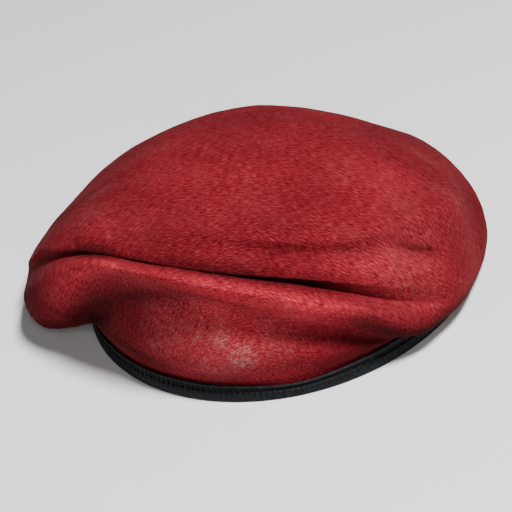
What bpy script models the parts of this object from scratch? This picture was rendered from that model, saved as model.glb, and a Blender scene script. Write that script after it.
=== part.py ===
"""Military beret: a moulded felt crown with one deep front roll, bound by a narrow leather headband.

+Z is up, the front faces -Y and the wearer's right, where the crown drapes over, is -X.
Angles run round the head in degrees: 0 at +X, 90 at the back, 180 at -X, 270 at the front.
"""

import bpy
import numpy as np

# Sizes in metres
BAND_LENGTH = 0.212  # outside of the headband, front to back
BAND_BREADTH = 0.170  # outside of the headband, side to side
BAND_HEIGHT = 0.0085
LEATHER = 0.0012
FELT = 0.0014
GAP = 0.0004  # clearance between leather and felt
CROWN_HEIGHT = 0.080  # table to the highest felt, about
OVERHANG = 0.030  # widest reach of the drape beyond the headband
PEAK_SHARE = 0.895  # height of the dome's middle, as a share of the crown above the band
LEATHER_EDGE = 0.4  # rounding of the binding's two lower corners, as a share of the leather

COLUMNS = 84  # round the head
STEPS = 2  # between one fold line and the next
DOME_RINGS = (0.90, 0.79, 0.68, 0.56, 0.44, 0.32, 0.20, 0.09)  # radius, as a share of the shoulder line's

# Fold lines below the front crease, one section a row. Out is a share of OVERHANG beyond the
# headband, up a share of the crown's height above it.
# angle, wall out, up, tuck out, up, hem out, up, roll out, up
LOWER_FOLD_SHARES = (
    (0, 0.01, 0.01, 0.03, -0.02, 0.055, -0.04, 0.13, -0.04),
    (30, 0.01, 0.01, 0.03, -0.015, 0.065, -0.035, 0.135, -0.03),
    (60, 0.01, 0.01, 0.05, 0.00, 0.12, -0.01, 0.20, 0.01),
    (90, 0.01, 0.015, 0.07, 0.01, 0.17, 0.005, 0.27, 0.025),
    (120, 0.01, 0.02, 0.10, 0.02, 0.27, 0.01, 0.39, 0.04),
    (150, 0.03, 0.03, 0.17, 0.03, 0.43, 0.01, 0.60, 0.04),
    (170, 0.03, 0.03, 0.27, 0.00, 0.57, -0.04, 0.80, 0.01),
    (183, 0.03, 0.03, 0.33, -0.03, 0.67, -0.07, 0.90, 0.00),
    (193, 0.03, 0.03, 0.33, -0.04, 0.76, -0.07, 0.91, 0.05),
    (202, 0.03, 0.04, 0.27, -0.02, 0.72, -0.01, 0.85, 0.23),
    (211, 0.03, 0.07, 0.19, 0.05, 0.47, 0.09, 0.67, 0.43),
    (221, 0.07, 0.11, 0.09, 0.22, 0.27, 0.39, 0.45, 0.61),
    (232, 0.11, 0.17, 0.03, 0.40, 0.21, 0.60, 0.36, 0.73),
    (246, 0.14, 0.19, -0.03, 0.53, 0.19, 0.66, 0.35, 0.775),
    (260, 0.16, 0.19, -0.03, 0.53, 0.20, 0.64, 0.37, 0.77),
    (274, 0.16, 0.18, -0.03, 0.43, 0.20, 0.55, 0.38, 0.695),
    (288, 0.14, 0.15, 0.00, 0.30, 0.21, 0.42, 0.41, 0.57),
    (302, 0.10, 0.09, 0.05, 0.14, 0.23, 0.25, 0.44, 0.395),
    (315, 0.03, 0.02, 0.08, 0.02, 0.27, 0.05, 0.40, 0.13),
    (328, 0.01, 0.01, 0.05, 0.00, 0.15, -0.01, 0.27, 0.03),
    (344, 0.01, 0.01, 0.03, -0.02, 0.06, -0.04, 0.14, -0.04),
)

# Fold lines from the front crease up to the shoulder, where the dome starts
# angle, crease out, up, puff out, up, dent out, up, shoulder out, up
UPPER_FOLD_SHARES = (
    (0, 0.145, -0.01, 0.125, 0.06, -0.04, 0.19, -0.22, 0.41),
    (30, 0.155, 0.00, 0.10, 0.055, -0.06, 0.13, -0.29, 0.27),
    (60, 0.23, 0.045, 0.18, 0.095, 0.00, 0.15, -0.27, 0.215),
    (90, 0.31, 0.07, 0.26, 0.12, 0.05, 0.19, -0.30, 0.27),
    (120, 0.43, 0.095, 0.38, 0.165, 0.15, 0.27, -0.20, 0.375),
    (150, 0.65, 0.11, 0.58, 0.18, 0.35, 0.28, 0.00, 0.40),
    (170, 0.83, 0.08, 0.77, 0.14, 0.53, 0.24, 0.17, 0.40),
    (183, 0.87, 0.09, 0.81, 0.16, 0.60, 0.27, 0.20, 0.44),
    (193, 0.75, 0.24, 0.73, 0.28, 0.55, 0.38, 0.20, 0.54),
    (202, 0.49, 0.445, 0.55, 0.49, 0.40, 0.56, 0.10, 0.65),
    (211, 0.31, 0.57, 0.42, 0.61, 0.32, 0.67, 0.00, 0.76),
    (221, 0.08, 0.65, 0.23, 0.70, 0.16, 0.76, -0.10, 0.83),
    (232, -0.05, 0.705, 0.13, 0.765, 0.03, 0.81, -0.20, 0.87),
    (246, -0.10, 0.72, 0.10, 0.80, -0.03, 0.85, -0.27, 0.90),
    (260, -0.10, 0.715, 0.13, 0.785, -0.20, 0.855, -0.37, 0.905),
    (274, -0.09, 0.67, 0.13, 0.74, -0.165, 0.815, -0.25, 0.885),
    (288, -0.02, 0.595, 0.185, 0.66, -0.115, 0.755, -0.14, 0.835),
    (302, 0.09, 0.45, 0.285, 0.53, -0.045, 0.675, -0.055, 0.77),
    (315, 0.25, 0.285, 0.38, 0.385, 0.08, 0.635, 0.085, 0.735),
    (328, 0.34, 0.11, 0.41, 0.23, 0.24, 0.50, 0.16, 0.66),
    (344, 0.18, 0.00, 0.19, 0.08, 0.12, 0.27, 0.01, 0.53),
)


def smooth(stops, values, places):
    """The cubic curve through the values at these stops, read at each place."""
    slopes = np.gradient(values, stops, axis=0)
    left = np.clip(np.searchsorted(stops, places, side="right") - 1, 0, len(stops) - 2)
    width = (stops[left + 1] - stops[left])[:, None]
    t = (places - stops[left])[:, None] / width
    start = (1 + 2 * t) * (1 - t) ** 2 * values[left] + t * (1 - t) ** 2 * width * slopes[left]
    end = (3 - 2 * t) * t**2 * values[left + 1] - (1 - t) * t**2 * width * slopes[left + 1]
    return start + end


def around(sections, angles):
    """Every column of a fold table, read at each angle round the head."""
    table = np.array(sections)
    stops = np.concatenate([table[:, 0] - 360, table[:, 0], table[:, 0] + 360])
    return smooth(stops, np.tile(table[:, 1:], (3, 1)), angles)


def ring(angles, out, height):
    """A closed line round the head, this far outside the headband's outer face."""
    turn = np.radians(angles)
    oval = np.column_stack([BAND_BREADTH / 2 * np.cos(turn), BAND_LENGTH / 2 * np.sin(turn)])
    radius = np.linalg.norm(oval, axis=1)
    flat = oval * ((radius + out) / radius)[:, None]
    return np.column_stack([flat, np.broadcast_to(height, len(angles))])


def dome_rings(shoulder):
    """Rings that fill the shoulder line: its waves fade toward the middle, over one even rise."""
    waves = np.fft.rfft(shoulder, axis=0)
    order = np.arange(len(waves))[:, None]
    top = BAND_HEIGHT + PEAK_SHARE * (CROWN_HEIGHT - BAND_HEIGHT)
    rise = top - shoulder[:, 2].mean()
    rings = []
    for share in DOME_RINGS + (0.0,):
        line = np.fft.irfft(waves * float(share) ** order, n=len(shoulder), axis=0)
        line[:, 2] += rise * (1 - share**2)
        rings.append(line)
    return rings


def crown_rings(angles):
    """The felt's outer face, ring by ring, from inside the headband up to the peak."""
    face = -(LEATHER + GAP)
    base = ring(angles, face, LEATHER + GAP)
    lines = [ring(angles, face, BAND_HEIGHT)]
    folds = np.hstack([around(LOWER_FOLD_SHARES, angles), around(UPPER_FOLD_SHARES, angles)])
    for column in range(0, folds.shape[1], 2):
        height = BAND_HEIGHT + folds[:, column + 1] * (CROWN_HEIGHT - BAND_HEIGHT)
        lines.append(ring(angles, folds[:, column] * OVERHANG, height))
    shoulder = len(lines) - 1
    lines += dome_rings(lines[-1])
    lines = np.array(lines)
    sections = []
    for section in lines.transpose(1, 0, 2):
        apart = np.sqrt(np.linalg.norm(np.diff(section, axis=0), axis=1))
        stops = np.concatenate([[0.0], np.cumsum(apart)])
        fine = np.interp(np.arange(shoulder * STEPS) / STEPS, np.arange(len(stops)), stops)
        sections.append(smooth(stops, section, np.concatenate([fine, stops[shoulder:]])))
    return np.concatenate([base[None], np.array(sections).transpose(1, 0, 2)])


def band_rings(angles):
    """The binding's outside: down its inner face, across the flat bottom and up the outer face."""
    bottom = 2 * LEATHER + 2 * GAP + FELT
    corner = LEATHER_EDGE * LEATHER
    profile = (
        (-bottom, BAND_HEIGHT),
        (-bottom, BAND_HEIGHT / 2),
        (-bottom, corner),
        (corner - bottom, 0.0),
        (-corner, 0.0),
        (0.0, corner),
        (0.0, BAND_HEIGHT / 2),
        (0.0, BAND_HEIGHT),
    )
    return np.array([ring(angles, out, height) for out, height in profile])


def skin(name, rings, closed_top):
    """An open surface through the rings, its faces turned outward."""
    levels, columns = rings.shape[:2]
    points = rings.reshape(-1, 3)
    if closed_top:
        levels -= 1
        points = points[: levels * columns + 1]
    faces = []
    for level in range(levels - 1):
        for column in range(columns):
            beside = (column + 1) % columns
            low, high = level * columns, (level + 1) * columns
            faces.append((low + column, low + beside, high + beside, high + column))
    if closed_top:
        edge = (levels - 1) * columns
        for column in range(columns):
            faces.append((edge + column, edge + (column + 1) % columns, levels * columns))
    mesh = bpy.data.meshes.new(name)
    mesh.from_pydata(points.tolist(), [], faces)
    mesh.shade_smooth()
    return mesh


def material(name, colour, roughness):
    made = bpy.data.materials.new(name)
    made.use_nodes = True
    shader = made.node_tree.nodes["Principled BSDF"]
    shader.inputs["Base Color"].default_value = (*colour, 1.0)
    shader.inputs["Roughness"].default_value = roughness
    return made


def shell(name, mesh, thickness, look, collection):
    """A piece: its outer surface thickened inward."""
    piece = bpy.data.objects.new(name, mesh)
    mesh.materials.append(look)
    wall = piece.modifiers.new("wall", "SOLIDIFY")
    wall.thickness = thickness
    wall.offset = -1.0
    wall.use_even_offset = True
    collection.objects.link(piece)
    return piece


def build():
    for old in list(bpy.data.objects):
        bpy.data.objects.remove(old, do_unlink=True)
    collection = bpy.data.collections.new("military_beret")
    bpy.context.scene.collection.children.link(collection)

    angles = np.arange(COLUMNS) * 360.0 / COLUMNS
    crown = crown_rings(angles)
    band = band_rings(angles)
    # The origin is under the middle of the beret's outline, on the table.
    middle = (crown.min(axis=(0, 1)) + crown.max(axis=(0, 1))) / 2
    middle[2] = 0.0

    felt = material("red_wool_felt", (0.25, 0.02, 0.022), 0.95)
    leather = material("black_leather", (0.012, 0.014, 0.018), 0.5)
    shell("crown", skin("crown", crown - middle, True), FELT, felt, collection)
    shell("headband", skin("headband", band - middle, False), LEATHER, leather, collection)


build()
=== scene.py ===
# Military beret: brushed red wool felt, bound by a black leather headband.
import math

import bpy
import numpy as np
from mathutils import Matrix, Vector, noise


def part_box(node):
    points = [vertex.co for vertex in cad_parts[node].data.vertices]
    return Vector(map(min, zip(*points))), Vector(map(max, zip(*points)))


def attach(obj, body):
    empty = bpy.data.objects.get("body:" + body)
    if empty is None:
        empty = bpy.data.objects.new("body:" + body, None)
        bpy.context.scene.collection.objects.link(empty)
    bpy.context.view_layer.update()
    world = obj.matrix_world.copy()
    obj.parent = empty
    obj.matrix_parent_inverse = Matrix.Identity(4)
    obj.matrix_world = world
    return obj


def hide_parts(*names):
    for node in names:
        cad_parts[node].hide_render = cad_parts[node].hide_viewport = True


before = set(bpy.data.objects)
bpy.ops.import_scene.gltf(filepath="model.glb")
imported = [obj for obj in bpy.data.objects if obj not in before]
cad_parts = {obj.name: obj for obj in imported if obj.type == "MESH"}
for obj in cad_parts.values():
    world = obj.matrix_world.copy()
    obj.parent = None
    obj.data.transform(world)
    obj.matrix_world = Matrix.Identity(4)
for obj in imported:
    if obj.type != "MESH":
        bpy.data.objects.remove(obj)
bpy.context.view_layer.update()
bandLow, bandHigh = [Vector(corner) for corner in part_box("headband")]
headCentre = Vector(((bandLow.x + bandHigh.x) / 2, (bandLow.y + bandHigh.y) / 2, 0))
print("frame loaded, head centre", tuple(round(value, 4) for value in headCentre))

# The oval that the headband makes, and what lies in its fold
head = {
    "length": bandHigh.y - bandLow.y,
    "breadth": bandHigh.x - bandLow.x,
    "bandHeight": bandHigh.z - bandLow.z,
    "leather": 0.0012,
    "felt": 0.0014,
    "gap": 0.0004,
}
inset = head["leather"] + head["gap"]  # how far inside the leather's face the felt's face goes down

crown = {
    "height": 0.080,  # from the table to a share of 1 upward, just above the highest felt
    "overhang": 0.030,  # what a share of 1 outward stands for, just past the drape's widest
    "peak": 0.895,  # height of the dome's middle, share of the crown above the band
    "columns": 360,
    "baseLevels": 3,  # inside the headband
    "stepsBetweenFolds": (8, 10, 8, 8, 6, 5, 5, 6, 10, 8),  # neck to wall, and on up to the shoulder
    "domeLines": (0.90, 0.79, 0.68, 0.56, 0.44, 0.32, 0.20, 0.09, 0.0),  # shares of the shoulder line
    "stepsBetweenDomeLines": 6,
    "cornerSoftness": 2.0,  # degrees round the head over which the tables' corners are evened out
    "lowerLip": 0.5,  # where the felt turns into the crease from below, from the crease to the roll
    "upperLip": 0.4,  # and from above, from the crease to the puff
    "lipFullness": 0.15,  # how far the lower lip swells up, share of the crease's depth
    "upperFullness": 0.2,  # and the upper one, share of the lower one's
}

# Angles go round the head in degrees: 0 is the wearer's left, 90 the back, 180 the wearer's right
# and 270 the front. Fold lines below the front crease, a section a row: out as a share of the
# overhang beyond the band, up as a share of the crown's height above it
# angle, wall out, up, tuck out, up, hem out, up, roll out, up
lowerFolds = (
    (0, 0.01, 0.01, 0.03, -0.02, 0.055, -0.04, 0.13, -0.04),
    (30, 0.01, 0.01, 0.03, -0.015, 0.065, -0.035, 0.135, -0.03),
    (60, 0.01, 0.01, 0.05, 0.00, 0.12, -0.01, 0.20, 0.01),
    (90, 0.01, 0.015, 0.07, 0.01, 0.17, 0.005, 0.27, 0.025),
    (120, 0.01, 0.02, 0.10, 0.02, 0.27, 0.01, 0.39, 0.04),
    (150, 0.03, 0.03, 0.17, 0.03, 0.43, 0.01, 0.60, 0.04),
    (170, 0.03, 0.03, 0.27, 0.00, 0.57, -0.04, 0.80, 0.01),
    (183, 0.03, 0.03, 0.33, -0.03, 0.67, -0.07, 0.90, 0.00),
    (193, 0.03, 0.03, 0.33, -0.04, 0.76, -0.07, 0.91, 0.05),
    (202, 0.03, 0.04, 0.27, -0.02, 0.72, -0.01, 0.85, 0.23),
    (211, 0.03, 0.07, 0.19, 0.05, 0.47, 0.09, 0.67, 0.43),
    (221, 0.07, 0.11, 0.09, 0.22, 0.27, 0.39, 0.45, 0.61),
    (232, 0.11, 0.17, 0.03, 0.40, 0.21, 0.60, 0.36, 0.73),
    (246, 0.14, 0.19, 0.00, 0.53, 0.165, 0.66, 0.35, 0.775),
    (260, 0.16, 0.19, 0.00, 0.53, 0.175, 0.64, 0.37, 0.77),
    (274, 0.16, 0.18, 0.00, 0.43, 0.175, 0.55, 0.38, 0.695),
    (288, 0.14, 0.15, 0.00, 0.30, 0.21, 0.42, 0.41, 0.57),
    (302, 0.10, 0.09, 0.05, 0.14, 0.23, 0.25, 0.44, 0.395),
    (315, 0.03, 0.02, 0.08, 0.02, 0.27, 0.05, 0.40, 0.13),
    (328, 0.01, 0.01, 0.05, 0.00, 0.15, -0.01, 0.27, 0.03),
    (344, 0.01, 0.01, 0.03, -0.02, 0.06, -0.04, 0.14, -0.04),
)

# Fold lines from the front crease up to the shoulder, where the dome starts
# angle, crease out, up, puff out, up, dent out, up, shoulder out, up
upperFolds = (
    (0, 0.145, -0.01, 0.125, 0.06, -0.04, 0.19, -0.22, 0.41),
    (30, 0.155, 0.00, 0.10, 0.055, -0.06, 0.13, -0.29, 0.27),
    (60, 0.23, 0.045, 0.18, 0.095, 0.00, 0.15, -0.27, 0.215),
    (90, 0.31, 0.07, 0.26, 0.12, 0.05, 0.19, -0.30, 0.27),
    (120, 0.43, 0.095, 0.38, 0.165, 0.15, 0.27, -0.20, 0.375),
    (150, 0.65, 0.11, 0.58, 0.18, 0.35, 0.28, 0.00, 0.40),
    (170, 0.83, 0.08, 0.77, 0.14, 0.53, 0.24, 0.17, 0.40),
    (183, 0.87, 0.09, 0.81, 0.16, 0.60, 0.27, 0.20, 0.44),
    (193, 0.75, 0.24, 0.73, 0.28, 0.55, 0.38, 0.20, 0.54),
    (202, 0.49, 0.445, 0.55, 0.49, 0.40, 0.56, 0.10, 0.65),
    (211, 0.31, 0.57, 0.43, 0.60, 0.32, 0.67, 0.00, 0.76),
    (221, 0.085, 0.65, 0.245, 0.69, 0.16, 0.76, -0.10, 0.83),
    (232, -0.04, 0.705, 0.155, 0.75, 0.03, 0.81, -0.20, 0.87),
    (246, -0.10, 0.72, 0.115, 0.79, -0.03, 0.85, -0.27, 0.90),
    (260, -0.10, 0.715, 0.13, 0.785, -0.20, 0.855, -0.37, 0.905),
    (274, -0.09, 0.67, 0.13, 0.74, -0.165, 0.815, -0.25, 0.885),
    (288, -0.02, 0.595, 0.185, 0.66, -0.10, 0.755, -0.14, 0.835),
    (302, 0.09, 0.45, 0.285, 0.53, -0.02, 0.67, -0.055, 0.765),
    (315, 0.25, 0.285, 0.38, 0.385, 0.11, 0.63, 0.085, 0.727),
    (328, 0.34, 0.11, 0.41, 0.23, 0.24, 0.50, 0.16, 0.66),
    (344, 0.18, 0.00, 0.19, 0.08, 0.12, 0.27, 0.01, 0.53),
)


def softStep(low, high, value):
    t = np.clip((value - low) / (high - low), 0, 1)
    return t * t * (3 - 2 * t)


def smoothCurve(stops, values, places):
    # a curve through every value, read off at the places
    slopes = np.gradient(values, stops, axis=0)
    left = np.clip(np.searchsorted(stops, places, side="right") - 1, 0, len(stops) - 2)
    width = (stops[left + 1] - stops[left])[:, None]
    t = (places - stops[left])[:, None] / width
    start = (1 + 2 * t) * (1 - t) ** 2 * values[left] + t * (1 - t) ** 2 * width * slopes[left]
    end = (3 - 2 * t) * t**2 * values[left + 1] - (1 - t) * t**2 * width * slopes[left + 1]
    return start + end


def aroundHead(sections, angles):
    # a table's rows, read off smoothly round the closed head
    table = np.array(sections)
    stops = np.concatenate([table[:, 0] - 360, table[:, 0], table[:, 0] + 360])
    return smoothCurve(stops, np.tile(table[:, 1:], (3, 1)), angles)


def ovalLine(angles, out, height):
    # points round the headband's oval, moved outward and up
    turn = np.radians(angles)
    oval = np.column_stack([head["breadth"] / 2 * np.cos(turn), head["length"] / 2 * np.sin(turn)])
    radius = np.linalg.norm(oval, axis=1)
    flat = oval * ((radius + out) / radius)[:, None]
    return np.column_stack([flat, np.broadcast_to(height, len(angles))])


def softenRound(values, degrees):
    # evens a closed line's corners out
    order = np.fft.rfftfreq(len(values)) * len(values)
    fade = np.exp(-0.5 * (order * math.radians(degrees)) ** 2)
    return np.fft.irfft(np.fft.rfft(values, axis=0) * fade[:, None], n=len(values), axis=0)


def domeLines(shoulder):
    # the shoulder line's waves fade toward the middle, over one even rise
    waveSizes = np.fft.rfft(shoulder, axis=0)
    order = np.arange(len(waveSizes))[:, None]
    peak = head["bandHeight"] + crown["peak"] * (crown["height"] - head["bandHeight"])
    rise = peak - shoulder[:, 2].mean()
    lines = []
    for share in crown["domeLines"]:
        line = np.fft.irfft(waveSizes * float(share) ** order, n=len(shoulder), axis=0)
        line[:, 2] += rise * (1 - share**2)
        lines.append(line)
    return lines


def foldLines(angles):
    # the felt's outer face in lines round the head, from the neck over the folds to the dome's middle
    rise = crown["height"] - head["bandHeight"]
    folds = np.hstack([aroundHead(lowerFolds, angles), aroundHead(upperFolds, angles)])
    folds = softenRound(folds, crown["cornerSoftness"]).reshape(len(angles), -1, 2)
    wall, tuck, hem, roll, crease, puff, dent, shoulder = folds.transpose(1, 0, 2)
    depth = np.clip(np.minimum(roll[:, :1], puff[:, :1]) - crease[:, :1], 0, None)
    swell = np.hstack([0 * depth, depth * crown["lipFullness"]])
    lower = crease + (roll - crease) * crown["lowerLip"] + swell
    upper = crease + (puff - crease) * crown["upperLip"] + swell * crown["upperFullness"]
    lines = [ovalLine(angles, -inset, head["bandHeight"])]
    for fold in (wall, tuck, hem, roll, lower, crease, upper, puff, dent, shoulder):
        out, up = fold.T
        lines.append(ovalLine(angles, out * crown["overhang"], head["bandHeight"] + up * rise))
    return np.array(lines + domeLines(lines[-1]))


def crownLevels(angles):
    # finer levels through the fold lines, and each level's place among them
    lines = foldLines(angles)
    steps = crown["stepsBetweenFolds"] + (crown["stepsBetweenDomeLines"],) * len(crown["domeLines"])
    places = [line + step / count for line, count in enumerate(steps) for step in range(count)]
    places.append(len(steps))
    levels = np.empty((len(places), len(angles), 3))
    for column in range(len(angles)):
        section = lines[:, column]
        spans = np.sqrt(np.linalg.norm(np.diff(section, axis=0), axis=1))
        stops = np.concatenate([[0.0], np.cumsum(spans)])
        levels[:, column] = smoothCurve(stops, section, np.interp(places, np.arange(len(stops)), stops))
    heights = np.linspace(inset, head["bandHeight"], crown["baseLevels"] + 1)[:-1]
    base = [ovalLine(angles, -inset, height) for height in heights]
    return np.concatenate([base, levels]), np.concatenate([np.zeros(len(base)), places])


def meshGrid(name, levels, closedTop=False, closedRing=False):
    # a mesh from closed lines, one above the other
    count, columns = levels.shape[:2]
    points = levels.reshape(-1, 3)
    if closedTop:
        count -= 1
        points = points[: count * columns + 1]
    level, column = np.indices((count if closedRing else count - 1, columns))
    beside = (column + 1) % columns
    above = (level + 1) % count
    corners = [(level, column), (level, beside), (above, beside), (above, column)]
    faces = np.stack([row * columns + place for row, place in corners], -1).reshape(-1, 4).tolist()
    if closedTop:
        edge = (count - 1) * columns
        faces += [(edge + place, edge + (place + 1) % columns, count * columns) for place in range(columns)]
    mesh = bpy.data.meshes.new(name)
    mesh.from_pydata(points.tolist(), [], faces)
    mesh.shade_smooth()
    return mesh


def addAttribute(mesh, name, values, kind="FLOAT"):
    field = "vector" if kind == "FLOAT_VECTOR" else "value"
    mesh.attributes.new(name, kind, "POINT").data.foreach_set(field, values.ravel())


def addPiece(name, mesh, material):
    piece = bpy.data.objects.new(name, mesh)
    bpy.context.scene.collection.objects.link(piece)
    mesh.materials.append(material)
    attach(piece, "root")
    return piece


def newMaterial(name):
    material = bpy.data.materials.new(name)
    material.use_nodes = True
    return material, material.node_tree, material.node_tree.nodes["Principled BSDF"]


def setSurface(shader, surface):
    for socket, value in surface.items():
        shader.inputs[socket].default_value = value


def addNode(tree, kind, **settings):
    made = tree.nodes.new(kind)
    for key, value in settings.items():
        if key in made.inputs:
            made.inputs[key].default_value = value
        else:
            setattr(made, key, value)
    return made


def feed(tree, socket, value):
    # a socket takes a plain value, or a link from another node
    if isinstance(value, bpy.types.NodeSocket):
        tree.links.new(value, socket)
    else:
        socket.default_value = value


def attributeOf(tree, name, output="Fac"):
    return addNode(tree, "ShaderNodeAttribute", attribute_name=name).outputs[output]


def noiseAt(tree, place, scale, detail=3.0, roughness=0.6):
    made = addNode(tree, "ShaderNodeTexNoise", Scale=scale, Detail=detail, Roughness=roughness)
    tree.links.new(place, made.inputs["Vector"])
    return made.outputs["Fac"]


def ranged(tree, value, low, high, start=0.0, stop=1.0):
    # low to high becomes start to stop, and no more
    made = addNode(tree, "ShaderNodeMapRange")
    for key, number in (("From Min", low), ("From Max", high), ("To Min", start), ("To Max", stop)):
        made.inputs[key].default_value = number
    tree.links.new(value, made.inputs["Value"])
    return made.outputs["Result"]


def maths(tree, operation, first, second):
    made = addNode(tree, "ShaderNodeMath", operation=operation)
    feed(tree, made.inputs[0], first)
    feed(tree, made.inputs[1], second)
    return made.outputs["Value"]


def blended(tree, first, second, share):
    # that share of the first, and the rest of the second
    rest = maths(tree, "MULTIPLY", second, 1.0 - share)
    return maths(tree, "ADD", maths(tree, "MULTIPLY", first, share), rest)


def mixed(tree, factor, first, second, blend="MIX"):
    made = addNode(tree, "ShaderNodeMix", data_type="RGBA", blend_type=blend)
    for key, value in (("Factor", factor), ("A", first), ("B", second)):
        feed(tree, made.inputs[key], value)
    return made.outputs["Result"]


def addBump(tree, shader, height, strength, distance):
    bump = addNode(tree, "ShaderNodeBump", Strength=strength, Distance=distance)
    tree.links.new(height, bump.inputs["Height"])
    tree.links.new(bump.outputs["Normal"], shader.inputs["Normal"])


# Noise scales are in features to a metre. A range is the noise's low and high, then what they become
feltLook = {
    "deep": (0.050, 0.0014, 0.0030, 1),
    "mid": (0.128, 0.0060, 0.0105, 1),
    "bright": (0.235, 0.0260, 0.0340, 1),
    "worn": (0.230, 0.120, 0.112, 1),
    "shadeStops": (0.356, 0.50, 0.644),  # where deep, mid and bright come in the nap's tone
    "streaks": 2400.0,
    "streakWidth": 0.145,  # share of a streak's length
    "streakTurn": 0.05,  # lie of the streaks, in radians
    "askewStreaks": 1680.0,  # a second, coarser layer
    "askewTurn": -0.12,
    "straightShare": 0.72,  # the first layer's share of the fibres
    "mottle": 260.0,
    "fibreShare": 0.90,  # the fibres' share of the tone, beside the mottle
    "flecks": 420.0,
    "fleckShare": 0.5,  # their share beside the coarser fibres
    "fleckRange": (0.45, 0.60, 0.12, 1.07),  # how a worn place shows grey, in flecks
    "bloom": 46.0,
    "bloomRange": (0.48, 0.72, 0.0, 0.028),  # a faint grey bloom all over
    "patches": 24.0,
    "patchRange": (0.3, 0.7, 0.82, 1.15),  # large soft changes of tone
    "bump": 0.42,
    "bumpHeight": 0.0005,
    "surface": {
        "Roughness": 0.95,
        "Specular IOR Level": 0.02,
        "Sheen Weight": 0.015,
        "Sheen Roughness": 0.5,
        "Sheen Tint": (1.0, 0.35, 0.35, 1),
    },
}


def napStreaks(tree, nap, turn, scale):
    # fine noise drawn out along the brushed nap
    turned = addNode(tree, "ShaderNodeMapping", Rotation=(0, 0, turn))
    tree.links.new(nap, turned.inputs["Vector"])
    drawn = addNode(tree, "ShaderNodeMapping", Scale=(feltLook["streakWidth"], 1.0, 1.0))
    tree.links.new(turned.outputs["Vector"], drawn.inputs["Vector"])
    return noiseAt(tree, drawn.outputs["Vector"], scale, detail=2.0)


def napShades(tree, tone):
    ramp = addNode(tree, "ShaderNodeValToRGB")
    stops = ramp.color_ramp.elements
    stops.new(feltLook["shadeStops"][1])
    for index, shade in enumerate(("deep", "mid", "bright")):
        stops[index].position = feltLook["shadeStops"][index]
        stops[index].color = feltLook[shade]
    tree.links.new(tone, ramp.inputs["Fac"])
    return ramp.outputs["Color"]


def makeFelt(name):
    material, tree, shader = newMaterial(name)
    place = addNode(tree, "ShaderNodeTexCoord").outputs["Object"]
    nap = attributeOf(tree, "napPlace", "Vector")
    along = napStreaks(tree, nap, feltLook["streakTurn"], feltLook["streaks"])
    askew = napStreaks(tree, nap, feltLook["askewTurn"], feltLook["askewStreaks"])
    fibres = blended(tree, along, askew, feltLook["straightShare"])
    tone = blended(tree, fibres, noiseAt(tree, place, feltLook["mottle"]), feltLook["fibreShare"])
    # worn places go grey in flecks, and a faint bloom lies over the rest
    flecks = blended(tree, noiseAt(tree, place, feltLook["flecks"]), askew, feltLook["fleckShare"])
    flecks = ranged(tree, flecks, *feltLook["fleckRange"])
    bloom = ranged(tree, noiseAt(tree, place, feltLook["bloom"]), *feltLook["bloomRange"])
    grey = maths(tree, "ADD", maths(tree, "MULTIPLY", attributeOf(tree, "wear"), flecks), bloom)
    colour = mixed(tree, grey, napShades(tree, tone), feltLook["worn"])
    # large soft patches, then painted shade in the folds and painted highlights on the ridges
    patches = noiseAt(tree, place, feltLook["patches"], roughness=0.5)
    colour = mixed(tree, 1.0, colour, ranged(tree, patches, *feltLook["patchRange"]), "MULTIPLY")
    colour = mixed(tree, 1.0, colour, attributeOf(tree, "paintedShadeAndHighlight"), "MULTIPLY")
    tree.links.new(colour, shader.inputs["Base Color"])
    setSurface(shader, feltLook["surface"])
    addBump(tree, shader, tone, feltLook["bump"], feltLook["bumpHeight"])
    return material


# Places among the folds count up from 0 at the neck: 1 wall, 2 tuck, 3 hem, 4 roll, 5 lower lip,
# 6 crease, 7 upper lip, 8 puff, 9 dent, 10 shoulder, and on over the dome lines to 19, the middle

# Where the felt has rubbed grey: angle, place, reach in metres, strength
wornPlaces = (
    # on the front wall
    (270, 1.15, 0.0060, 0.60),
    (265, 1.35, 0.0045, 0.40),
    (259, 1.38, 0.0025, 0.35),
    (246, 1.25, 0.0022, 0.30),
    (279, 1.35, 0.0120, 0.12),
    (252, 1.40, 0.0200, 0.13),
    (228, 1.30, 0.0130, 0.10),
    (262, 0.70, 0.0100, 0.20),
    # on the puff and the dome
    (316, 8.30, 0.0180, 0.09),
    (207, 11.75, 0.0050, 0.28),
    (219, 10.30, 0.0070, 0.16),
    (10, 11.40, 0.0080, 0.14),
    (344, 10.40, 0.0080, 0.14),
)
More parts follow.
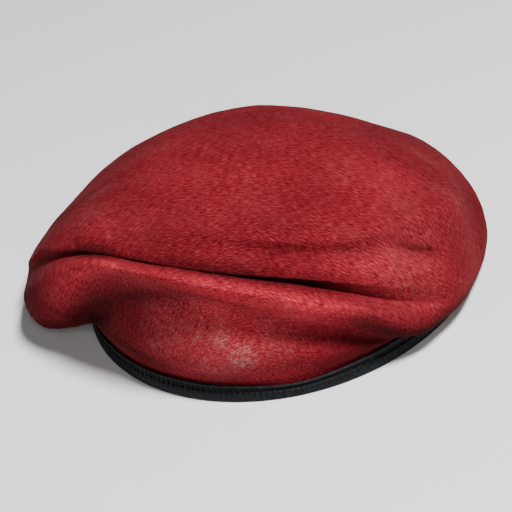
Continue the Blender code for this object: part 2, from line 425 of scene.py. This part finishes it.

# Small wrinkles and ridges, with painted shade and painted highlights along them, each fading out at both
# ends from angle and place, to angle and place, width and depth in metres (a ridge's is below 0), tone
# (painted shade below 0, painted highlight above)
marks = (
    # on the dome and the shoulder
    (306, 13.4, 350, 12.2, 0.0180, 0.0, 0.34),
    (184, 8.80, 206, 11.4, 0.0120, 0.0, -0.30),
    (262, 10.6, 300, 10.3, 0.0130, 0.0, -0.18),
    (246, 10.5, 266, 10.8, 0.0130, 0.0, -0.10),
    (326, 10.2, 346, 9.30, 0.0100, 0.0, 0.20),
    (350, 6.80, 20, 10.0, 0.0120, 0.0, -0.28),
    # along the dent, with its small deep end, and the puff below it
    (222, 9.60, 246, 9.80, 0.0080, 0.0, 0.22),
    (232, 9.50, 280, 9.40, 0.0050, 0.0008, -0.22),
    (272, 9.25, 313, 8.92, 0.0034, 0.0009, -0.22),
    (296, 9.12, 318, 8.88, 0.0026, 0.0006, -0.16),
    (314, 8.93, 328, 8.72, 0.0023, 0.0013, -0.66),
    (282, 8.75, 328, 8.38, 0.0055, -0.0006, 0.30),
    (316, 8.95, 332, 8.40, 0.0080, 0.0, 0.17),
    (236, 8.20, 255, 8.20, 0.0035, 0.0, 0.24),
    (288, 7.90, 310, 7.90, 0.0060, 0.0, -0.20),
    # in the crease and on its lips
    (219, 7.60, 238, 7.30, 0.0040, 0.0, -0.52),
    (286, 7.50, 305, 7.40, 0.0030, 0.0004, -0.15),
    (238, 7.30, 286, 7.20, 0.0036, 0.0, -0.80),
    (207, 7.00, 223, 7.00, 0.0030, 0.0, 0.35),
    (294, 6.95, 328, 6.75, 0.0036, 0.0, 0.46),
    (310, 5.70, 338, 6.20, 0.0055, 0.0, 0.34),
    (256, 5.00, 291, 5.00, 0.0026, 0.0, -0.50),
    (222, 4.90, 242, 5.00, 0.0030, 0.0, -0.55),
    # on the roll and the drape
    (242, 3.90, 212, 3.50, 0.0060, -0.0008, 0.95),
    (186, 3.80, 210, 4.10, 0.0110, 0.0, -0.55),
    (282, 3.60, 303, 3.75, 0.0034, 0.0, 0.75),
    (308, 3.60, 324, 3.60, 0.0040, 0.0, -0.34),
    (314, 3.20, 342, 4.60, 0.0055, 0.0, -0.70),
    # under the roll
    (204, 3.30, 230, 2.10, 0.0050, 0.0008, -0.65),
    (188, 3.10, 212, 2.90, 0.0070, 0.0, -0.70),
    (298, 3.30, 324, 2.70, 0.0050, 0.0, -0.58),
    (250, 2.80, 286, 2.90, 0.0034, 0.0, -0.36),
    (294, 2.30, 324, 2.20, 0.0085, 0.0, -0.40),
    (210, 2.20, 228, 1.60, 0.0046, 0.0, -0.85),
    (266, 2.20, 294, 2.10, 0.0042, 0.0, -0.26),
    (222, 2.15, 258, 2.10, 0.0050, 0.0, -0.58),
    # on the front wall
    (286, 1.90, 316, 1.30, 0.0050, 0.0, -0.52),
    (216, 1.20, 250, 0.50, 0.0040, 0.0, -0.65),
    (256, 0.90, 286, 1.10, 0.0070, 0.0, 0.14),
    (222, 0.45, 254, 0.25, 0.0048, 0.0, -0.38),
    (252, 0.30, 272, 0.30, 0.0040, 0.0, -0.32),
    (286, 0.25, 322, 0.20, 0.0048, 0.0, -0.34),
)

# Painted shade and painted highlights along the fold lines: place, breadth in places, angle from, angle to,
# tone
paintedFoldLight = (
    (15.2, 2.60, -30, 390, 0.14),
    (9.1, 0.50, 284, 326, 0.16),
    (7.8, 0.90, 215, 300, -0.36),
    (7.3, 0.80, 204, 306, -0.36),
    (6.9, 0.45, 236, 288, -0.42),
    (6.0, 0.60, 200, 246, -0.30),
    (6.0, 0.60, 252, 303, -0.95),
    (4.10, 0.50, 228, 262, 0.65),
    (3.98, 0.58, 250, 306, 0.72),
    (3.3, 0.75, 184, 232, -0.16),
    (3.1, 0.60, 292, 334, -0.36),
    (2.7, 0.85, 254, 300, 0.60),
    (2.1, 0.90, 200, 240, -0.42),
    (1.65, 0.40, 238, 286, 0.54),
    (1.1, 0.55, 262, 324, -0.24),
    (0.9, 0.50, 234, 276, 0.18),
    (0.35, 0.50, 278, 322, -0.32),
)

feltFace = {
    "waves": ((0.040, 0.0009), (0.015, 0.00035), (0.0065, 0.00014)),  # size and lift, in metres
    "waveShift": 31,  # moves the waves to a part of the noise of their own
    "freePlaces": (0.3, 1.5),  # between these the felt comes free of the headband
    "creasePlace": 6,
    "creaseBreadth": 0.9,  # in places
    "creaseCalm": 0.85,  # how much of the lift is lost there
    "markPoints": 8,  # along the shortest mark, and one more for so many degrees
    "degreesPerPoint": 1.5,
    "markTaper": 0.7,  # below 1 a mark's ends are blunter
    "toneEnds": 14.0,  # degrees over which a fold's tone fades out
    "napDrift": 0.0045,  # how far the nap wanders sideways, and over what length, in metres
    "napDriftLength": 0.030,
    "napShift": 3,  # the same move for the nap
}


def outward(levels):
    # the way that the felt faces, at each point
    along = np.gradient(levels, axis=0)
    around = np.roll(levels, -1, axis=1) - np.roll(levels, 1, axis=1)
    across = np.cross(around, along)
    return across / (np.linalg.norm(across, axis=2, keepdims=True) + 1e-12)


def waves(points, size):
    return np.array([noise.noise(Vector(point) / size) for point in points])


def freedom(places):
    # nothing moves inside the headband, and little moves between the lips of the crease
    held, free = feltFace["freePlaces"]
    rise = np.clip((places - held) / (free - held), 0, 1)
    fromCrease = (places - feltFace["creasePlace"]) / feltFace["creaseBreadth"]
    return (rise * (1 - feltFace["creaseCalm"] * np.exp(-(fromCrease**2))))[:, None]


def paintedLightAlongFolds(places, columns):
    angles = np.arange(columns) * 360.0 / columns
    tone = np.ones((len(places), columns))
    for place, breadth, start, stop, change in paintedFoldLight:
        span = softStep(0, feltFace["toneEnds"], np.minimum(angles - start, stop - angles))
        tone *= 1 + change * np.exp(-(((places - place) / breadth) ** 2))[:, None] * span
    return tone


def markLine(levels, places, angleFrom, placeFrom, angleTo, placeTo):
    # points on the felt along a mark, and how far along it each one lies
    span = (angleTo - angleFrom + 180) % 360 - 180
    count = feltFace["markPoints"] + int(abs(span) / feltFace["degreesPerPoint"])
    steps = np.linspace(0, 1, count)
    columns = np.round((angleFrom + span * steps) / 360 * levels.shape[1]).astype(int) % levels.shape[1]
    rows = np.interp(placeFrom + (placeTo - placeFrom) * steps, places, np.arange(len(places)))
    lower = np.minimum(rows.astype(int), len(places) - 2)
    part = (rows - lower)[:, None]
    return levels[lower, columns] * (1 - part) + levels[lower + 1, columns] * part, steps


def roughen(levels, places):
    # lifts and dents the felt, and gives each point its painted shade and painted highlight
    points = levels.reshape(-1, 3)
    shift = feltFace["waveShift"]
    lift = sum(height * waves(points + size * shift, size) for size, height in feltFace["waves"])
    lift = lift.reshape(levels.shape[:2]) * freedom(places)
    tone = paintedLightAlongFolds(places, levels.shape[1])
    for *ends, width, depth, change in marks:
        line, steps = markLine(levels, places, *ends)
        apart = np.linalg.norm(points[:, None] - line[None], axis=2)
        taper = np.sin(np.pi * steps[apart.argmin(axis=1)]) ** feltFace["markTaper"]
        mark = (taper * np.exp(-((apart.min(axis=1) / width) ** 2))).reshape(lift.shape)
        lift -= depth * mark
        # a mark's tone paints shade where it is below 0 and a highlight where it is above
        tone *= 1 + change * mark
    return levels + outward(levels) * lift[:, :, None], tone


def wearAt(levels, places):
    wear = np.zeros(levels.shape[:2])
    for angle, place, reach, strength in wornPlaces:
        column = int(round(angle / 360 * levels.shape[1])) % levels.shape[1]
        level = int(np.argmin(np.abs(places - place)))
        apart = np.linalg.norm(levels - levels[level, column], axis=2)
        wear = np.maximum(wear, strength * np.exp(-((apart / reach) ** 2)))
    return wear


def napPlaces(levels, angles):
    # each point's way from the middle of the dome, laid flat, with a slow drift of the nap
    steps = np.linalg.norm(np.diff(levels, axis=0), axis=2)
    reach = np.concatenate([np.cumsum(steps[::-1], axis=0)[::-1], np.zeros((1, len(angles)))])
    turn = np.radians(angles)
    flat = np.stack([reach * np.cos(turn), reach * np.sin(turn), np.zeros_like(reach)], axis=2)
    flat = flat.reshape(-1, 3)
    flat[:, 1] += feltFace["napDrift"] * waves(flat + feltFace["napShift"], feltFace["napDriftLength"])
    return flat


def buildCrown():
    angles = np.arange(crown["columns"]) * 360.0 / crown["columns"]
    levels, places = crownLevels(angles)
    levels, tone = roughen(levels + np.array(headCentre), places)
    mesh = meshGrid("felt_crown", levels, closedTop=True)
    count = len(mesh.vertices)
    addAttribute(mesh, "wear", wearAt(levels, places).ravel()[:count])
    addAttribute(mesh, "paintedShadeAndHighlight", tone.ravel()[:count])
    addAttribute(mesh, "napPlace", napPlaces(levels, angles)[:count], "FLOAT_VECTOR")
    piece = addPiece("felt_crown", mesh, makeFelt("brushed_red_felt"))
    wall = piece.modifiers.new("felt_thickness", "SOLIDIFY")
    wall.thickness = head["felt"]
    wall.offset = -1
    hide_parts("crown")
    print("crown built:", len(mesh.polygons), "faces")


buildCrown()

# The leather is folded over the felt's edge, gathered and stitched along its upper third. Lengths
# are in metres, and heights are shares of the band's
binding = {
    "stitches": 228,
    "columnsPerStitch": 6,
    "seed": 7,
    "spacing": 0.10,  # how far a stitch strays along the row, in stitches
    "pull": (0.75, 1.1),  # the weakest and the strongest stitch
    "corner": 0.0009,  # rounding of the fold below
    "bead": 0.0006,  # radius of the rolled top edge
    "beadProud": 0.0002,
    "beadArc": (-55, 170),  # degrees that it rolls through, from the outer face to the fold
    "beadNeck": (2.0, 2.4),  # how far below the top it starts and ends, in its radii
    "lipArc": (20, 180),  # the same turn for the inner leather's edge
    "underside": (0.7, 0.5, 0.3),  # where points lie along it, shares of the binding's width
    "faceSteps": 20,  # points up the outer face, round a corner, over the bead and along the fold
    "cornerSteps": 6,
    "beadSteps": 9,
    "foldSteps": 4,
    "bulge": 0.0003,  # swelling of the smooth part below the stitches
    "bulgeTop": 0.58,
    "grooveFoot": (0.53, 0.64),  # the stitched groove's soft lower edge, and its upper one
    "grooveTop": (0.80, 0.90),
    "grooveDepth": 0.0009,
    "ribEdges": (0.30, 0.75),  # how the ribs between the stitches round off
    "slantPivot": 0.7,  # height that the slanting ribs turn about
    "puckerFoot": 0.1,  # height that the puckers under the groove start from
    "pucker": 0.34,  # their depth, share of the groove's
    "puckerLoss": 0.2,  # and how much of it a full rib takes away
    "insideTone": 0.8,
    "grooveShade": 0.9,  # darkening in the groove
    "shadeGain": 1.3,  # above 1 it is full before the groove is at its deepest
    "edgeGleam": 1.6,  # painted highlight and rubbed wear along the top edge
    "edgeHeights": (0.86, 0.97),
    "bellyGleam": 0.5,  # painted highlight along the smooth part
    "bellyHeight": 0.3,
    "bellyBreadth": 0.2,
}

# How much lower the binding is than at the sides, as a share of its height: angle, share
bindingDips = (
    (0, 0.0),
    (120, 0.0),
    (250, 0.0),
    (268, 0.10),
    (284, 0.26),
    (298, 0.11),
    (312, 0.0),
    (336, 0.0),
)

# How the gathers change round the head: angle, height of the ribs between notches, slant in stitches
gathers = (
    (0, 0.25, 0.9),
    (90, 0.60, 0.2),
    (180, 0.80, 0.1),
    (250, 0.75, 0.1),
    (270, 0.30, 0.6),
    (290, 0.12, 1.0),
    (330, 0.12, 1.2),
)


def bend(centre, radius, start, stop, steps):
    turn = np.radians(np.linspace(start, stop, steps))
    return [(centre[0] + radius * math.cos(angle), centre[1] + radius * math.sin(angle)) for angle in turn]


def bandSection():
    # out and up, from the outer lower corner up over the rolled edge and round to the inside
    high, leather, corner, bead = head["bandHeight"], head["leather"], binding["corner"], binding["bead"]
    width = 2 * leather + 2 * head["gap"] + head["felt"]
    lip = leather / 2  # the inner edge is rounded over its whole thickness
    faceTop, foldTop = [high - bead * radii for radii in binding["beadNeck"]]
    beadCentre = (binding["beadProud"] - bead, high - bead)
    cornerSteps, foldSteps = binding["cornerSteps"], binding["foldSteps"]
    section = bend((-corner, corner), corner, -90, 0, cornerSteps)
    section += [(0, up) for up in np.linspace(corner, faceTop, binding["faceSteps"])[1:]]
    section += bend(beadCentre, bead, *binding["beadArc"], binding["beadSteps"])
    section += [(-leather, up) for up in np.linspace(foldTop, leather, foldSteps)]
    section += [(leather - width, up) for up in np.linspace(leather, high - lip, foldSteps)]
    section += bend((lip - width, high - lip), lip, *binding["lipArc"], cornerSteps)
    section += [(-width, up) for up in np.linspace(high - lip, corner, cornerSteps)[1:-1]]
    section += bend((corner - width, corner), corner, 180, 270, cornerSteps)
    section += [(-width * share, 0) for share in binding["underside"]]
    return np.array(section)


def stitchRow(angles):
    # each column's place along the row, and each stitch's pull
    rng = np.random.default_rng(binding["seed"])
    strays = rng.normal(0, binding["spacing"], binding["stitches"])
    pulls = rng.uniform(*binding["pull"], binding["stitches"])
    row = np.arange(len(angles)) / binding["columnsPerStitch"]
    return row + np.interp(row, np.arange(len(strays)), strays, period=len(strays)), pulls


def sunkAt(share, row, pulls, ribHeight, slant):
    # how deep the stitching sinks the outer face at one height, share of the groove's depth
    phase = row + slant * (share - binding["slantPivot"])
    rib = softStep(*binding["ribEdges"], 0.5 + 0.5 * np.cos(2 * np.pi * phase))
    groove = softStep(*binding["grooveFoot"], share) * (1 - softStep(*binding["grooveTop"], share))
    pucker = (binding["pucker"] - binding["puckerLoss"] * ribHeight) * (1 - groove)
    pucker *= softStep(binding["puckerFoot"], binding["bulgeTop"], share)
    pull = pulls[np.floor(phase + 0.5).astype(int) % len(pulls)]
    return groove * (1 - ribHeight * rib) * pull + pucker * (1 - rib)


def buildBand():
    columns = binding["stitches"] * binding["columnsPerStitch"]
    angles = np.arange(columns) * 360.0 / columns
    row, pulls = stitchRow(angles)
    ribHeight, slant = aroundHead(gathers, angles).T
    narrowing = 1 - np.clip(aroundHead(bindingDips, angles)[:, 0], 0, 1)
    levels = []
    tones = []
    for out, up in bandSection():
        share = up / head["bandHeight"]
        outs = np.full(columns, float(out))
        tone = np.full(columns, 1.0 if out > -head["leather"] / 2 else binding["insideTone"])
        if abs(out) < 1e-9:  # the outer face
            sunk = sunkAt(share, row, pulls, ribHeight, slant)
            outs += binding["bulge"] * np.sin(np.pi * np.clip(share / binding["bulgeTop"], 0, 1))
            outs -= binding["grooveDepth"] * sunk
            # painted shade in the groove
            tone *= 1 - binding["grooveShade"] * np.clip(sunk * binding["shadeGain"], 0, 1)
        # painted highlights along the top edge, partly rubbed wear, and along the smooth part
        edge = binding["edgeGleam"] * softStep(*binding["edgeHeights"], share) * (out > -head["leather"])
        belly = np.exp(-(((share - binding["bellyHeight"]) / binding["bellyBreadth"]) ** 2))
        tone *= 1 + edge + binding["bellyGleam"] * belly
        levels.append(ovalLine(angles, outs, up * narrowing))
        tones.append(tone)
    mesh = meshGrid("leather_headband", np.array(levels) + np.array(headCentre), closedRing=True)
    addAttribute(mesh, "leatherTone", np.array(tones))
    piece = addPiece("leather_headband", mesh, makeLeather("black_leather"))
    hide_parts("headband")
    print("headband built:", len(mesh.polygons), "faces")


leatherLook = {
    "dark": (0.0012, 0.0014, 0.0020, 1),
    "dusty": (0.0056, 0.0066, 0.0084, 1),
    "grain": 1300.0,
    "fineGrain": 700.0,
    "dustRange": (0.35, 0.65),
    "roughRange": (0.0, 1.0, 0.48, 0.68),
    "bump": 0.5,
    "bumpHeight": 0.0002,
    "surface": {"Specular IOR Level": 0.10},
}


def makeLeather(name):
    material, tree, shader = newMaterial(name)
    place = addNode(tree, "ShaderNodeTexCoord").outputs["Object"]
    grain = addNode(tree, "ShaderNodeTexVoronoi", feature="F1", Scale=leatherLook["grain"])
    tree.links.new(place, grain.inputs["Vector"])
    fine = noiseAt(tree, place, leatherLook["fineGrain"], detail=4.0)
    dust = ranged(tree, fine, *leatherLook["dustRange"])
    colour = mixed(tree, dust, leatherLook["dark"], leatherLook["dusty"])
    # leatherTone holds painted shade in the groove, painted highlights on the top edge and smooth part, and
    # a darker inside
    colour = mixed(tree, 1.0, colour, attributeOf(tree, "leatherTone"), "MULTIPLY")
    tree.links.new(colour, shader.inputs["Base Color"])
    tree.links.new(ranged(tree, fine, *leatherLook["roughRange"]), shader.inputs["Roughness"])
    setSurface(shader, leatherLook["surface"])
    height = maths(tree, "ADD", grain.outputs["Distance"], fine)
    addBump(tree, shader, height, leatherLook["bump"], leatherLook["bumpHeight"])
    return material


buildBand()

view = {
    "turn": 12.0,  # degrees from the front toward the wearer's left
    "rise": 29.0,
    "roll": -9.5,
    "distance": 1.1,
    "focalPixels": 2510.0,
    "centrePixel": (285.0, 270.0),  # where the middle of the headband's oval falls
    "imagePixels": 512.0,
    "sensor": 36.0,  # millimetres
}


def away(turn, rise):
    # the way from the beret to a camera or a lamp
    turn, rise = math.radians(turn), math.radians(rise)
    return Vector((math.sin(turn) * math.cos(rise), -math.cos(turn) * math.cos(rise), math.sin(rise)))


def buildCamera():
    turn, roll = math.radians(view["turn"]), math.radians(view["roll"])
    back = away(view["turn"], view["rise"])
    right = Vector((math.cos(turn), math.sin(turn), 0))
    up = back.cross(right)
    across = right * math.cos(roll) + up * math.sin(roll)
    above = up * math.cos(roll) - right * math.sin(roll)
    place = headCentre + back * view["distance"]
    metresPerPixel = view["distance"] / view["focalPixels"]
    aside, below = [pixel - view["imagePixels"] / 2 for pixel in view["centrePixel"]]
    aim = headCentre - across * aside * metresPerPixel + above * below * metresPerPixel
    back = (place - aim).normalized()
    across = above.cross(back).normalized()
    above = back.cross(across)
    data = bpy.data.cameras.new("camera")
    data.sensor_width = view["sensor"]
    data.lens = view["sensor"] * view["focalPixels"] / view["imagePixels"]
    camera = bpy.data.objects.new("camera", data)
    camera.matrix_world = Matrix.Translation(place) @ Matrix((across, above, back)).transposed().to_4x4()
    bpy.context.scene.collection.objects.link(camera)
    bpy.context.scene.camera = camera
    print("camera placed")


buildCamera()

studio = {
    "floorSize": 6.0,
    "floor": {"Base Color": (0.80, 0.80, 0.80, 1), "Roughness": 0.9, "Specular IOR Level": 0.1},
    "worldStrength": 0.035,
    "aimHeight": 0.04,  # the lamps point at the middle of the beret
    "key": {"turn": 42.0, "rise": 60.0, "distance": 1.7, "size": 0.35, "power": 66.0},
    "fill": {"turn": 12.0, "rise": 28.0, "distance": 2.0, "size": 0.8, "power": 14.0},
}


def addLight(name, setting):
    toward = away(setting["turn"], setting["rise"])
    data = bpy.data.lights.new(name, "AREA")
    data.shape = "DISK"
    data.size = setting["size"]
    data.energy = setting["power"]
    lamp = bpy.data.objects.new(name, data)
    lamp.location = headCentre + Vector((0, 0, studio["aimHeight"])) + toward * setting["distance"]
    lamp.rotation_euler = toward.to_track_quat("Z", "Y").to_euler()
    bpy.context.scene.collection.objects.link(lamp)


def buildStudio():
    half = studio["floorSize"] / 2
    corners = [(-half, -half, 0), (half, -half, 0), (half, half, 0), (-half, half, 0)]
    mesh = bpy.data.meshes.new("floor")
    mesh.from_pydata(corners, [], [(0, 1, 2, 3)])
    floor = bpy.data.objects.new("floor", mesh)
    material, _, shader = newMaterial("pale_floor")
    setSurface(shader, studio["floor"])
    mesh.materials.append(material)
    bpy.context.scene.collection.objects.link(floor)
    world = bpy.data.worlds.new("studio")
    world.use_nodes = True
    background = world.node_tree.nodes["Background"]
    background.inputs["Color"].default_value = (1, 1, 1, 1)
    background.inputs["Strength"].default_value = studio["worldStrength"]
    bpy.context.scene.world = world
    addLight("key", studio["key"])
    addLight("fill", studio["fill"])
    print("studio lit")


buildStudio()
